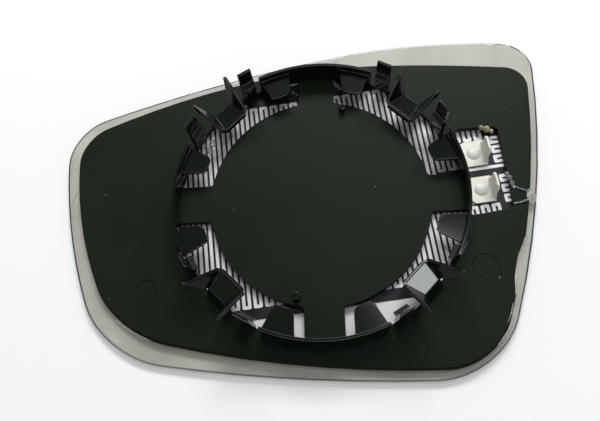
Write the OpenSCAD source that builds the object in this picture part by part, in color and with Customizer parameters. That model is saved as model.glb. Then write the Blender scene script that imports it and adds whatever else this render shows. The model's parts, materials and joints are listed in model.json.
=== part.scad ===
// Heated door mirror glass for a small car, left-hand side, seen from behind.
// The pane lies mirror face down on z = 0. The origin is the centre of the clip ring,
// +X runs to the wide end of the glass, +Y to its top edge and +Z out of the back.

/* [Glass] */
// Thickness of the pane
glass_t = 2; // [1.8:0.1:3]
// Narrow end of the pane, upper corner, X
glass_nu_x = -95.6; // [-98:0.1:-93]
// Narrow end of the pane, upper corner, Y
glass_nu_y = 33.8; // [31:0.1:36]
// Narrow end of the pane, lower corner, X
glass_nl_x = -74.5; // [-77:0.1:-72]
// Narrow end of the pane, lower corner, Y
glass_nl_y = -52.2; // [-55:0.1:-50]
// Wide end of the pane, lower corner, X
glass_wl_x = 55.1; // [53:0.1:58]
// Wide end of the pane, lower corner, Y
glass_wl_y = -62.8; // [-65:0.1:-61]
// Wide end of the pane, upper corner, X
glass_wu_x = 83; // [81:0.1:86]
// Wide end of the pane, upper corner, Y
glass_wu_y = 61.1; // [59:0.1:64]
// Soft corner in the top edge, X
glass_top_x = 5.1; // [0:0.1:10]
// Soft corner in the top edge, Y
glass_top_y = 60.7; // [59:0.1:63]
// Length of edge that the narrow upper corner takes up
glass_nu_cut = 14.2; // [8:0.1:20]
// Length of edge that the narrow lower corner takes up
glass_nl_cut = 19.6; // [12:0.1:24]
// Length of edge that the wide lower corner takes up
glass_wl_cut = 19.9; // [12:0.1:24]
// Length of edge that the wide upper corner takes up
glass_wu_cut = 11.4; // [8:0.1:18]
// Length of edge that the soft top corner takes up
glass_top_cut = 20.1; // [12:0.1:24]
// Bow of the narrow end
glass_narrow_bow = 5.2; // [2:0.1:8]
// Bow of the bottom edge
glass_low_bow = 3.7; // [1:0.1:6]
// Bow of the wide end
glass_wide_bow = 6.5; // [3:0.1:9]
// Bow of the top edge, right of the soft corner
glass_right_bow = 2.9; // [1:0.1:5]
// Bow of the top edge, left of the soft corner
glass_left_bow = 2.2; // [1:0.1:5]

/* [Backing plate] */
// Thickness of the moulded plate
plate_t = 2; // [1.6:0.1:3]
// Height of the step around its upper edge
plate_step_h = 0.5; // [0.2:0.1:0.8]
// Width of that step
plate_step_w = 0.7; // [0.3:0.1:1.5]
// Narrow upper corner of the plate from the pane's, X
plate_nu_in = 5.8; // [4:0.1:8]
// Narrow upper corner of the plate from the pane's, down
plate_nu_down = 4.4; // [3:0.1:7]
// Narrow lower corner of the plate from the pane's, X
plate_nl_in = 5.2; // [4:0.1:8]
// Narrow lower corner of the plate from the pane's, up
plate_nl_up = 7.3; // [5:0.1:9]
// Wide lower corner of the plate from the pane's, X
plate_wl_in = 1.7; // [1:0.1:4]
// Wide lower corner of the plate from the pane's, up
plate_wl_up = 3.1; // [2:0.1:5]
// Wide upper corner of the plate from the pane's, X
plate_wu_in = 3.7; // [3:0.1:6]
// Wide upper corner of the plate from the pane's, down
plate_wu_down = 12.2; // [10:0.1:14]
// Soft top corner of the plate from the pane's, down
plate_top_down = 5.9; // [4:0.1:7]
// Length of edge that the plate's narrow upper corner takes up
plate_nu_cut = 10.3; // [6:0.1:14]
// Length of edge that the plate's narrow lower corner takes up
plate_nl_cut = 17; // [10:0.1:20]
// Length of edge that the plate's wide lower corner takes up
plate_wl_cut = 15.1; // [10:0.1:20]
// Length of edge that the plate's wide upper corner takes up
plate_wu_cut = 7.9; // [5:0.1:12]
// Length of edge that the plate's soft top corner takes up
plate_top_cut = 19.7; // [12:0.1:24]
// Bow of the plate's narrow end
plate_narrow_bow = 5.7; // [3:0.1:8]
// Bow of the plate's bottom edge
plate_low_bow = 4.8; // [2:0.1:6]
// Bow of the plate's wide end
plate_wide_bow = 5.2; // [3:0.1:7]
// Bow of the plate's top edge, right of the soft corner
plate_right_bow = 1.3; // [0.5:0.1:3]
// Bow of the plate's top edge, left of the soft corner
plate_left_bow = 4.1; // [2:0.1:5]
// Depth of the shallow dip in the wide end
dip_d = 1.4; // [0.6:0.1:2]
// Y of the upper end of the dip
dip_top_y = -17.5; // [-20:0.5:-15]
// Y of the lower end of the dip
dip_low_y = -37; // [-40:0.5:-33]

/* [Clip ring] */
// Inner radius of the ring wall
ring_r = 50.1; // [49:0.1:51]
// Thickness of the ring wall
ring_t = 1; // [0.8:0.1:1.6]
// Height of the ring wall above the plate
ring_h = 8.1; // [7:0.1:10]
// Half angle of each of the four wall sections
ring_half = 24.3; // [23:0.1:26]
// Width of the four windows, from the round pad to the ring wall
window_w = 11; // [10:0.1:12]
// Half width of the bridges above and below the pad
bridge_v = 6.7; // [5:0.1:8]
// Half width of the bridges left and right of the pad
bridge_h = 6.9; // [5:0.1:8]
// Radius of the window corners beside the pad
window_fillet = 1.5; // [0.8:0.1:2]
// Height of the seats on the tongues and scoops above the plate
seat_h = 5.4; // [4.6:0.1:6]
// Thickness of the tongues and scoop floors
seat_t = 1.4; // [1:0.1:2]
// How far the tongues and scoops reach in from the ring wall
seat_reach = 8.7; // [7.5:0.1:9.5]
// Distance of a tongue from the middle line, at the upper and lower bridges
tongue_near_v = 9.6; // [8:0.1:10.5]
// Distance of a tongue from the middle line, at the side bridges
tongue_near_h = 10.1; // [9:0.1:10.8]
// Angle of the far corner of a tongue's tip
tongue_far = 22.4; // [21:0.1:23]
// Angle of its far side at the ring wall
tongue_root = 24; // [23:0.1:24.3]
// Cut across the free corners of a tongue
tongue_cut = 1; // [0.5:0.1:1.5]

/* [Hooks] */
// Angle of each hook from the middle of its scoop
hook_at = 15.2; // [14.5:0.1:16]
// Width of a hook
hook_w = 5.2; // [4:0.1:5.6]
// Back of a hook outside the inner face of the ring wall
hook_behind = 1.1; // [0.8:0.1:1.8]
// Thickness of a hook above its nose
hook_t = 1.5; // [1.2:0.1:1.7]
// Thickness of a hook at its foot
hook_foot_t = 1.8; // [1.7:0.1:2.2]
// How far the nose reaches in from the face above it
nose_out = 1.7; // [1.2:0.1:2.4]
// Height of a hook above the seats
hook_h = 10.2; // [8:0.1:11]
// Height of the flat under the nose above the seats
nose_h = 2.2; // [1.8:0.1:2.6]
// Height of the tip of the nose
nose_tip_h = 1; // [0.6:0.1:1.4]
// Height of the slope above the tip
nose_slope_h = 1.2; // [0.8:0.1:2]
// Height of the slope that undercuts the nose
nose_under_h = 0.8; // [0.4:0.1:1.2]
// Blunting of a hook's edges
hook_blunt = 0.3; // [0.1:0.1:0.5]

/* [Scoops] */
// Half width of a scoop's tray at its inner end
tray_in = 6.3; // [6:0.1:6.6]
// Cut across the two inner corners of the tray
tray_cut = 1.6; // [0.8:0.1:2.2]
// Width of the rim at the inner end
rim_w = 0.9; // [0.6:0.1:1.3]
// Height of the rim
rim_h = 0.9; // [0.4:0.1:1.4]
// Foot of an ear at the inner end of the tray, from the scoop's middle
ear_foot_in = 5.7; // [5.4:0.1:5.9]
// Foot of an ear at the outer end of the tray, from the scoop's middle
ear_foot_out = 4.1; // [3.6:0.1:4.6]
// End of the tray's floor inside the ring wall
tray_short = 0.9; // [0.4:0.1:1.5]
// Foot of the scoop's sloping back outside the ring wall's inner face
scoop_foot = 1.8; // [1.2:0.1:2.4]
// Thickness of the sloping back
scoop_back_t = 1.4; // [1:0.1:2]
// Thickness of an ear
ear_t = 1.3; // [1:0.1:1.6]
// Tip of an ear outside the ring wall's inner face
ear_out = 4.1; // [3:0.1:5]
// Distance of an ear's tip from the middle of its scoop
ear_spread = 7.9; // [7:0.1:8.4]
// Height of an ear's tip above the seats
ear_h = 8.2; // [7:0.1:9.5]
// Width of the blunt tip of an ear
ear_tip_w = 0.9; // [0.5:0.1:1.5]

/* [Small features] */
// Radius of the two pegs on the round pad
peg_r = 1.2; // [0.8:0.1:1.8]
// Height of the pegs
peg_h = 2.6; // [1:0.1:4]
// Upper peg from the edge of the round pad
peg_upper_in = 2.5; // [2:0.1:4]
// Upper peg from the middle line
peg_upper_x = 9.6; // [8:0.1:12]
// Lower peg from the edge of the round pad
peg_lower_in = 2.9; // [2:0.1:4]
// Lower peg from the middle line, on the other side
peg_lower_x = 8.9; // [8:0.1:12]
// Depth of the round ejector marks
mark_d = 0.08; // [0.04:0.02:0.2]
// Radius of the mark at the narrow end
mark_narrow_r = 3.7; // [2:0.1:5]
// Its distance left of the middle
mark_narrow_x = 60.7; // [59:0.1:63]
// Its distance below the middle
mark_narrow_y = 30.8; // [29:0.1:33]
// Radius of the mark below the ring on the left
mark_left_r = 4.7; // [3:0.1:5.5]
// Its distance left of the middle
mark_left_x = 40.9; // [40:0.1:43]
// Its distance below the middle
mark_left_y = 41.4; // [41:0.1:43]
// Radius of the mark below the ring on the right
mark_right_r = 5.3; // [3:0.1:5.5]
// Its distance right of the middle
mark_right_x = 27.3; // [26:0.1:29]
// Its distance below the middle
mark_right_y = 52.9; // [52:0.1:54]
// Radius of the mark at the wide end
mark_wide_r = 4.3; // [3:0.1:4.5]
// Its distance right of the middle
mark_wide_x = 54; // [53:0.1:56]
// Its distance below the middle
mark_wide_y = 27.2; // [26:0.1:29]

/* [Terminal window] */
// Upper left corner outside the inner face of the ring wall, X
tw_ul_x = 0.1; // [0:0.1:0.6]
// Lower left corner outside the inner face of the ring wall, X
tw_ll_x = 1.3; // [1.2:0.1:2]
// Height of the upper corners, Y
tw_top_y = 24.4; // [24:0.1:26]
// Distance of the lower left corner below the middle line
tw_ll_down = 9; // [8.6:0.1:10]
// Distance of the lower right corner below the middle line
tw_lr_down = 6.8; // [6.6:0.1:8]
// Width of the window at its upper end
tw_top_w = 14.8; // [14.4:0.1:16]
// Width of the window at its lower end
tw_low_w = 15.1; // [14.8:0.1:16]
// Length of edge that each of its corners takes up
tw_cut = 1.4; // [0.8:0.1:2]
// Bow of its sides
tw_bow = 0.15; // [0.1:0.05:0.3]

/* [Heater] */
// Thickness of the carrier film
film_t = 0.15; // [0.1:0.05:0.2]
// Thickness of the printed track
track_t = 0.15; // [0.1:0.05:0.2]
// Lean of the whole heater
heater_lean = 6; // [5.5:0.5:6.5]
// Width of the track
track_w = 1.35; // [1:0.05:1.5]
// Distance between neighbouring legs
leg_pitch = 1.93; // [1.9:0.01:1.96]
// Distance of leg zero left of the middle
leg_zero = 19.1; // [18.8:0.1:19.4]
// Extra space hidden under the round pad
leg_gap = 1.1; // [0.8:0.1:1.4]
// Chamfer on the outside of each turn
turn_cut = 0.45; // [0.2:0.05:0.5]
// Distance of the lower turns below the middle
turns_low = 34.6; // [33:0.1:36]
// Distance of the upper turns above the middle
turns_high = 41.5; // [40.8:0.1:42]
// Distance of the top rail above the middle
rail_high = 50.1; // [49.5:0.1:50.4]
// Height of the two rails that run to the terminals, the lower one
rail_low_y = 1.3; // [1.2:0.1:1.4]
// Height of the upper one
rail_up_y = 3.3; // [3.2:0.1:3.4]
// Distance between the short rows beside the terminals
row_pitch = 1.9; // [1.75:0.05:1.95]
// Free end of those rows from the terminal window's left side
row_in = 14.1; // [13.8:0.1:14.6]
// Length of those rows
row_l = 5.5; // [5:0.1:5.6]
// Distance of the outermost rail from the closed end of the rows
rail_gap = 2.5; // [2.2:0.1:2.6]
// Inset of the film from the edge of the plate
film_in = 1.2; // [0.8:0.1:1.4]
// Distance of the film's lower edge below the middle
film_low = 39; // [37:0.1:41]

/* [Adhesive] */
// Thickness of the sheet that bonds the plate
sheet_t = 0.3; // [0.2:0.05:0.6]
// Inset of the sheet from the edge of the plate
sheet_in = 0.6; // [0.3:0.1:0.7]
// Extra opening of the sheet around the windows
sheet_gap = 0.3; // [0.1:0.1:0.3]

/* [Terminals] */
// Width of a terminal's pad, across the heater
tab_w = 8.4; // [8.2:0.1:8.8]
// Length of a terminal's pad, along the heater
tab_l = 9.8; // [8.4:0.1:10]
// Thickness of the sheet metal
tab_t = 0.8; // [0.6:0.1:1]
// Chamfer of the pad's free corners
tab_cut = 1.3; // [0.5:0.1:2]
// Width of the blade
blade_w = 6.3; // [4.8:0.1:6.5]
// Height of the blade above the heater
blade_h = 8; // [6:0.1:9]
// Chamfer of the blade's corners
blade_cut = 1; // [0.5:0.1:1.5]
// Width of the web at the foot of the blade
web_w = 8.2; // [7:0.1:8.4]
// Height of the web
web_h = 1.6; // [1:0.1:2.2]
// Height of the slope from the web to the blade
web_slope = 0.8; // [0.4:0.1:1.2]
// Middle of the upper pad from the terminal window's left side
tab_upper_in = 6.8; // [6.6:0.1:7]
// Middle of the lower pad from the terminal window's left side
tab_lower_in = 6.2; // [6:0.1:6.4]
// Middle of the upper pad, above the middle line of the heater
tab_upper_y = 9.1; // [9:0.1:9.4]
// Middle of the lower pad, below the middle line of the heater
tab_lower_down = 5; // [4.8:0.1:5.4]
// Radius of the rivet's shank
shank_r = 1.2; // [1:0.05:1.5]
// Clearance around the shank
shank_gap = 0.05; // [0.02:0.01:0.2]
// Radius of the rivet's head
head_r = 2.55; // [2:0.05:2.8]
// Height of the rivet's head
head_h = 0.7; // [0.5:0.05:1.4]

/* [Glue] */
// Radius of the threads of hardened glue
thread_r = 0.32; // [0.2:0.02:0.5]
// Radius of the largest drop at the edge of the pane
edge_drop_r = 1.7; // [1.2:0.1:2]
// Radius of the largest clear drop at the terminal window
window_drop_r = 1.1; // [0.9:0.1:1.3]
// Radius of the largest yellow drop at the terminal window's corner
corner_drop_r = 1.3; // [1.1:0.1:1.5]
// Radius of the largest drop in the ring's windows
ring_drop_r = 1.2; // [1:0.1:1.4]
// Radius of the largest drop of the smear on the tracks
smear_r = 2.7; // [2.4:0.1:3]

/* [Hidden] */
$fn = 64;
// A little more than nothing, for cuts that run past a face
eps = 0.02;
// Facets around a drop or thread of glue
glue_facets = 12;
// Steps along the curve of a side, and around a corner
side_steps = 7;
corner_steps = 8;
// How far the corner curve's handles reach towards the sharp corner
corner_pull = 0.55;
// Shares of the dip's length that its two slopes and its floor take
dip_parts = 3;
// More than the reach of the part to any side
far = 2 * (norm([glass_nu_x, glass_nu_y]) + norm([glass_wu_x, glass_wu_y]));

// Layers, from the mirror face up
film_z = glass_t;
track_z = film_z + film_t;
sheet_z = track_z + track_t;
plate_z = sheet_z + sheet_t;
plate_top = plate_z + plate_t;
ring_top = plate_top + ring_h;
seat_z = plate_top + seat_h;
seat_under = seat_z - seat_t;

// Radii that follow the ring
ring_out_r = ring_r + ring_t;
pad_r = ring_r - window_w;
seat_r = ring_r - seat_reach;
quarters = [0, 90, 180, 270];

glass_corners = [[glass_nu_x, glass_nu_y], [glass_nl_x, glass_nl_y], [glass_wl_x, glass_wl_y],
    [glass_wu_x, glass_wu_y], [glass_top_x, glass_top_y]];
glass_cuts = [glass_nu_cut, glass_nl_cut, glass_wl_cut, glass_wu_cut, glass_top_cut];
glass_bows = [glass_narrow_bow, glass_low_bow, glass_wide_bow, glass_right_bow, glass_left_bow];

plate_insets = [[plate_nu_in, -plate_nu_down], [plate_nl_in, plate_nl_up],
    [-plate_wl_in, plate_wl_up], [-plate_wu_in, -plate_wu_down], [0, -plate_top_down]];
plate_corners = glass_corners + plate_insets;
plate_cuts = [plate_nu_cut, plate_nl_cut, plate_wl_cut, plate_wu_cut, plate_top_cut];
plate_bows = [plate_narrow_bow, plate_low_bow, plate_wide_bow, plate_right_bow, plate_left_bow];

tw_left = ring_r + tw_ul_x;
tw_low_left = ring_r + tw_ll_x;
tw_corners = [[tw_left, tw_top_y], [tw_low_left, -tw_ll_down],
    [tw_low_left + tw_low_w, -tw_lr_down], [tw_left + tw_top_w, tw_top_y]];
tw_cuts = [tw_cut, tw_cut, tw_cut, tw_cut];
tw_bows = [tw_bow, tw_bow, tw_bow, tw_bow];

// Middles of the pads, in heater coordinates
tab_upper = [tw_left + tab_upper_in, tab_upper_y];
tab_lower = [tw_left + tab_lower_in, -tab_lower_down];

// Outlines

function cross2(a, b) = a.x * b.y - a.y * b.x;

function at_angle(a) = [cos(a), sin(a)];

// One side of an outline: middle, direction, outward normal, radius and half angle of its arc
function side(p, q, bow) =
    let (c = norm(q - p), u = (q - p) / c, r = c * c / (8 * bow) + bow / 2)
    [(p + q) / 2, u, [u.y, -u.x], r, asin(c / (2 * r))];

function side_point(s, a, inset) =
    s[0] + s[1] * s[3] * sin(a) + s[2] * s[3] * (cos(a) - cos(s[4]))
    - inset * (s[1] * sin(a) + s[2] * cos(a));

function side_way(s, a) = s[1] * cos(a) - s[2] * sin(a);

function side_from(s, cut) = -s[4] + cut / s[3] * 180 / PI;

function side_to(s, cut) = s[4] - cut / s[3] * 180 / PI;

// A curve from a to b that starts along ta and ends along tb
function corner_curve(a, ta, b, tb) =
    let (x = a + ta * cross2(b - a, tb) / cross2(ta, tb),
         c1 = a + corner_pull * (x - a), c2 = b + corner_pull * (x - b))
    [for (i = [1 : corner_steps - 1])
        let (t = i / corner_steps, w = 1 - t)
        w * w * w * a + 3 * w * w * t * c1 + 3 * w * t * t * c2 + t * t * t * b];

// A closed outline of bowed sides with a soft corner between each two
function outline(corners, cuts, bows, inset = 0) =
    let (n = len(corners),
         sides = [for (i = [0 : n - 1]) side(corners[i], corners[(i + 1) % n], bows[i])])
    [for (i = [0 : n - 1])
        let (s = sides[i], next = sides[(i + 1) % n], cut = cuts[(i + 1) % n],
             from = side_from(s, cuts[i]), to = side_to(s, cut), on = side_from(next, cut))
        each concat(
            [for (k = [0 : side_steps]) side_point(s, from + (to - from) * k / side_steps, inset)],
            corner_curve(side_point(s, to, inset), side_way(s, to),
                side_point(next, on, inset), side_way(next, on)))];

module glass_outline() { polygon(outline(glass_corners, glass_cuts, glass_bows)); }

module plate_outline(inset = 0) { polygon(outline(plate_corners, plate_cuts, plate_bows, inset)); }

module slab(z, h) { translate([0, 0, z]) linear_extrude(h) children(); }

// Moves the children from heater coordinates to the frame of the part
module on_heater() { rotate(heater_lean) children(); }

// Mirror glass

module mirror_glass() {
    color("darkkhaki") slab(0, glass_t) glass_outline();
}

// Windows

// Material left in the corner between a bridge's side and the round pad
module pad_fillet(half, z, h) {
    cx = half + window_fillet - eps;
    cy = sqrt((pad_r + window_fillet - eps) ^ 2 - cx ^ 2);
    in_pad = [cx, cy] * (pad_r - 2 * eps) / norm([cx, cy]);
    sharp = [half, sqrt(pad_r ^ 2 - half ^ 2)];
    difference() {
        slab(z, h) polygon([sharp - 2 * [eps, eps], in_pad, [cx, cy], [half - 2 * eps, cy]]);
        translate([cx, cy, z - eps]) cylinder(h = h + 2 * eps, r = window_fillet);
    }
}

// The window in the +X +Y quarter with sharp corners, widened by grow
module sharp_window(z, h, grow = 0) {
    difference() {
        intersection() {
            translate([0, 0, z]) cylinder(h = h, r = ring_r + grow);
            translate([bridge_v - grow, bridge_h - grow, z]) cube([ring_r, ring_r, h]);
        }
        translate([0, 0, z - eps]) cylinder(h = h + 2 * eps, r = pad_r - grow);
    }
}

// The same window with rounded corners beside the pad
module quarter_window(z, h) {
    difference() {
        sharp_window(z, h);
        pad_fillet(bridge_v, z - eps, h + 2 * eps);
        mirror([1, -1, 0]) pad_fillet(bridge_h, z - eps, h + 2 * eps);
    }
}

module in_quarters() {
    for (flip_x = [0, 1], flip_y = [0, 1])
        mirror([flip_x, 0, 0]) mirror([0, flip_y, 0]) children();
}

module terminal_window_outline(grow = 0) {
    polygon(outline(tw_corners, tw_cuts, tw_bows, -grow));
}

module terminal_window(z, h, grow = 0) { slab(z, h) terminal_window_outline(grow); }

// Backing plate

// What is missing from the wide end of the plate
module wide_end_dip() {
    low = plate_corners[2];
    high = plate_corners[3];
    edge = side(low, high, plate_bows[2]);
    function edge_x(y) = side_point(edge, edge[4] * (2 * (y - low.y) / (high.y - low.y) - 1), 0).x;
    fall = (dip_top_y - dip_low_y) / dip_parts;
    clear_x = edge_x(dip_top_y) + 2 * dip_d;
    slab(plate_z - eps, plate_t + 2 * eps) polygon([
        [edge_x(dip_top_y), dip_top_y], [edge_x(dip_top_y - fall) - dip_d, dip_top_y - fall],
        [edge_x(dip_low_y + fall) - dip_d, dip_low_y + fall], [edge_x(dip_low_y), dip_low_y],
        [clear_x, dip_low_y], [clear_x, dip_top_y]]);
}

module ejector_mark(x, y, r) {
    translate([x, y, plate_top - mark_d]) cylinder(h = mark_d + eps, r = r);
}

module plate_body() {
    difference() {
        union() {
            slab(plate_z, plate_t - plate_step_h) plate_outline();
            slab(plate_z, plate_t) plate_outline(plate_step_w);
        }
        wide_end_dip();
        in_quarters() quarter_window(plate_z - eps, plate_t + 2 * eps);
        terminal_window(plate_z - eps, plate_t + 2 * eps);
        ejector_mark(-mark_narrow_x, -mark_narrow_y, mark_narrow_r);
        ejector_mark(-mark_left_x, -mark_left_y, mark_left_r);
        ejector_mark(mark_right_x, -mark_right_y, mark_right_r);
        ejector_mark(mark_wide_x, -mark_wide_y, mark_wide_r);
    }
}

// One of the four sections of the ring wall, on the +X side
module ring_section() {
    cut_r = 2 * ring_out_r;
    intersection() {
        difference() {
            translate([0, 0, plate_z]) cylinder(h = ring_top - plate_z, r = ring_out_r);
            translate([0, 0, plate_z - eps]) cylinder(h = ring_top, r = ring_r);
        }
        slab(plate_z, ring_top) polygon([[0, 0], cut_r * at_angle(-ring_half),
            cut_r * at_angle(ring_half)]);
    }
}

// A spring tongue beside the +X bridge, on its +Y side
module tongue(near) {
    root_r = ring_r + ring_t / 2;
    far_in = seat_r * at_angle(tongue_far);
    near_in = [sqrt(seat_r ^ 2 - near ^ 2), near];
    root = ring_out_r * at_angle(tongue_root);
    across = (far_in - near_in) / norm(far_in - near_in);
    out = (root - far_in) / norm(root - far_in);
    intersection() {
        slab(seat_under, seat_t) polygon([[ring_out_r, near], near_in + [tongue_cut, 0],
            near_in + across * tongue_cut, far_in - across * tongue_cut,
            far_in + out * tongue_cut, root]);
        translate([0, 0, seat_under]) cylinder(h = seat_t, r = root_r);
    }
}

module tongue_pair(near) {
    tongue(near);
    mirror([0, 1, 0]) tongue(near);
}

// A snap hook on the +X side
module hook() {
    foot_z = plate_top - eps;
    back = ring_r + hook_behind;
    face = back - hook_t;
    foot = back - hook_foot_t;
    nose = face - nose_out;
    flat_z = seat_z + nose_h;
    tip_z = flat_z + nose_tip_h;
    top = seat_z + hook_h;
    translate([0, hook_w / 2, 0]) rotate([90, 0, 0]) linear_extrude(hook_w) polygon([
        [back, foot_z], [back, top - hook_blunt], [back - hook_blunt, top],
        [face + hook_blunt, top], [face, tip_z + nose_slope_h], [nose + hook_blunt, tip_z],
        [nose, tip_z - hook_blunt], [nose, flat_z], [foot, flat_z - nose_under_h],
        [foot, foot_z]]);
}

// A thin ear that leans out from one side of a scoop's tray
module ear() {
    floor_out = ring_r - tray_short;
    from = [seat_r + rim_w, ear_foot_in];
    to = [floor_out, ear_foot_out];
    tip = [ring_r + ear_out, ear_spread] - from;
    foot_l = norm(to - from);
    way = (to - from) / foot_l;
    out = tip * [-way.y, way.x];
    up = norm([out, ear_h]);
    reach = tip * way;
    translate([from.x, from.y, seat_z]) rotate(atan2(way.y, way.x))
        rotate([atan2(ear_h, out), 0, 0]) translate([0, 0, -ear_t / 2])
            linear_extrude(ear_t) polygon([[0, -ear_t / 2], [0, rim_h],
                [reach - ear_tip_w, up], [reach, up], [foot_l, -ear_t / 2]]);
}

// A scoop clip on the +X side: a tray with a rim, two leaning ears and a sloping back
module scoop() {
    floor_out = ring_r - tray_short;
    foot = ring_r + scoop_foot;
    back_in = floor_out - scoop_back_t;
    module tray(half) {
        polygon([[seat_r, -half + tray_cut], [seat_r, half - tray_cut],
            [seat_r + tray_cut, half], [floor_out, ear_foot_out], [floor_out, -ear_foot_out],
            [seat_r + tray_cut, -half]]);
    }
    slab(seat_under, seat_t) tray(tray_in);
    difference() {
        slab(seat_z - eps, rim_h + eps) tray(tray_in);
        slab(seat_z - 2 * eps, 2 * rim_h) polygon([[seat_r + rim_w, -tray_in + tray_cut],
            [seat_r + rim_w, tray_in - tray_cut], [seat_r + rim_w + tray_cut, ear_foot_in],
            [seat_r + rim_w + tray_cut, tray_in + eps], [foot, tray_in + eps],
            [foot, -tray_in - eps], [seat_r + rim_w + tray_cut, -tray_in - eps],
            [seat_r + rim_w + tray_cut, -ear_foot_in]]);
    }
    translate([0, ear_foot_out, 0]) rotate([90, 0, 0]) linear_extrude(2 * ear_foot_out) polygon([
        [floor_out, seat_z], [foot, plate_top - eps], [foot - scoop_back_t, plate_top - eps],
        [back_in, seat_under], [back_in, seat_z]]);
    ear();
    mirror([0, 1, 0]) ear();
}

module peg(x, in) {
    translate([x, sqrt((pad_r - in) ^ 2 - x ^ 2), plate_top - eps])
        cylinder(h = peg_h + eps, r = peg_r);
}

module backing_plate() {
    color("darkslategray") {
        plate_body();
        for (a = quarters) {
            rotate(a) ring_section();
            rotate(a) tongue_pair(a % 180 == 0 ? tongue_near_h : tongue_near_v);
            rotate(a + 45) scoop();
            for (s = [-1, 1]) rotate(a + 45 + s * hook_at) hook();
        }
        peg(peg_upper_x, peg_upper_in);
        rotate(180) peg(peg_lower_x, peg_lower_in);
    }
}

// Heater

// Heater coordinates: first across the legs, then along them. Legs are counted from leg zero.
// Three runs lie side by side between two rails: one rail ends on each terminal's pad.

first_leg = -24;
last_main_leg = 29;
last_side_leg = 41;
// Legs up to this one are left of the extra space under the pad
gap_leg = 10;
// The side legs up to this one show in the ring's windows
ring_leg = 35;
// The upper turns of the main run are higher between these legs
high_from_leg = -12;
high_to_leg = -2;
row_count = 6;

// How much the upper turns differ from turns_high: beside the ring, higher, and at both ends
turns_side_down = 1;
turns_raise = 2;
turns_drop = 3.5;
// The top rail: its bend on the right, its bend on the left, and how far both ends fall
rail_bend_right = 12;
rail_bend_left = -22;
rail_right_fall = 8.8;
rail_left_fall = 9.1;
// The last bend of the outermost rail
rail_turn_x = 5;
rail_turn_y = 0.7;
rail_end_down = 2.8;
// Where the inner runs stop short of the rails, above and below, beside the ring and outside it
side_stop_ring_up = 4.6;
side_stop_up = 15;
side_stop_down = 11;
side_low_down = 18;
side_low_x = 3.3;
// How far the rails run onto the pads, from the pad's middle
pad_join = 3;

row_free = tw_left + row_in;
row_shut = row_free + row_l;
rail_right = row_shut + rail_gap;
rail_end = rail_high - rail_right_fall;

function leg_x(k) = -leg_zero + leg_pitch * k + (k > gap_leg ? leg_gap : 0);

function odd(k) = k % 2 != 0;

// Both ends of a leg, from its lower end if it is met going up
function leg(x, low, high, up) = up ? [[x, low], [x, high]] : [[x, high], [x, low]];

// Height of the upper turns of the main run, lower near the narrow end where the plate runs out
function main_high(k) = turns_high
    + (k < high_from_leg ? -turns_drop : k < high_to_leg ? turns_raise : 0);

// The short rows, from the rail outwards
function rows(s) = [for (i = [0 : row_count - 1])
    let (y = (s > 0 ? rail_up_y : rail_low_y) + s * row_pitch * (i + 1))
    each odd(i) ? [[row_free, y], [row_shut, y]] : [[row_shut, y], [row_free, y]]];

main_run = concat(
    [[row_shut, rail_end], [rail_bend_right, rail_high], [rail_bend_left, rail_high],
        [leg_x(first_leg), rail_high - rail_left_fall]],
    [for (k = [first_leg : last_main_leg])
        each leg(leg_x(k), -turns_low, main_high(odd(k) ? k : k - 1), odd(k))],
    [[leg_x(last_main_leg + 1), turns_high], [leg_x(last_main_leg + 1), rail_low_y],
        [tab_lower.x - pad_join, rail_low_y], [tab_lower.x - pad_join, tab_lower.y]]);

high_run = concat([[row_shut, rail_up_y]], rows(1), [[row_shut, turns_high - turns_drop]],
    [for (k = [last_side_leg : -1 : last_main_leg + 2])
        each leg(leg_x(k),
            k == last_main_leg + 2 ? rail_low_y : k > ring_leg ? side_stop_up : side_stop_ring_up,
            turns_high - (k > ring_leg + 1 ? turns_drop : turns_side_down), !odd(k))]);

low_run = concat([[row_shut, rail_up_y]], rows(-1), [[row_shut - side_low_x, -side_low_down]],
    [for (k = [last_side_leg : -1 : last_main_leg + 2])
        each leg(leg_x(k) - (k > ring_leg ? 0 : leg_pitch),
            k > ring_leg + 3 ? -side_low_down : -turns_low,
            k == last_main_leg + 2 ? rail_low_y : -side_stop_down, odd(k))]);

rail = [[tab_upper.x - pad_join, tab_upper.y], [tab_upper.x - pad_join, rail_up_y],
    [rail_right, rail_up_y], [rail_right, rail_end - rail_end_down], [row_shut, rail_end],
    [row_shut - rail_turn_x, rail_end + rail_turn_y]];

// Unit vector of stretch i of a path
function way(p, i) = (p[i + 1] - p[i]) / norm(p[i + 1] - p[i]);

function left_of(d) = [-d.y, d.x];

// One side of the band of width w along a path, with its outer corners chamfered
function band_side(p, w, s) =
    let (n = len(p))
    [for (i = [0 : n - 1])
        let (a = i == 0 ? way(p, 0) : way(p, i - 1), b = i == n - 1 ? a : way(p, i),
             m = (left_of(a) + left_of(b)) / (1 + a * b), at = p[i] + s * w / 2 * m,
             outer = s * cross2(a, b) < -0.2)
        each outer ? [at - turn_cut * a, at + turn_cut * b] : [at]];

function reversed(v) = [for (i = [len(v) - 1 : -1 : 0]) v[i]];

module band(path) {
    polygon(concat(band_side(path, track_w, 1), reversed(band_side(path, track_w, -1))));
}

module film_outline() {
    intersection() {
        plate_outline(film_in);
        on_heater() translate([-far / 2, -film_low]) square([far, far]);
    }
}

module heater_film() {
    color("black") slab(film_z, film_t) film_outline();
}

module contact(tab) { translate([tab.x - tab_w / 2, tab.y - tab_l / 2]) square([tab_w, tab_l]); }

module heater_track() {
    color("silver") slab(track_z, track_t) on_heater() {
        band(main_run);
        band(high_run);
        band(low_run);
        band(rail);
        contact(tab_upper);
        contact(tab_lower);
    }
}

// Adhesive sheet

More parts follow.
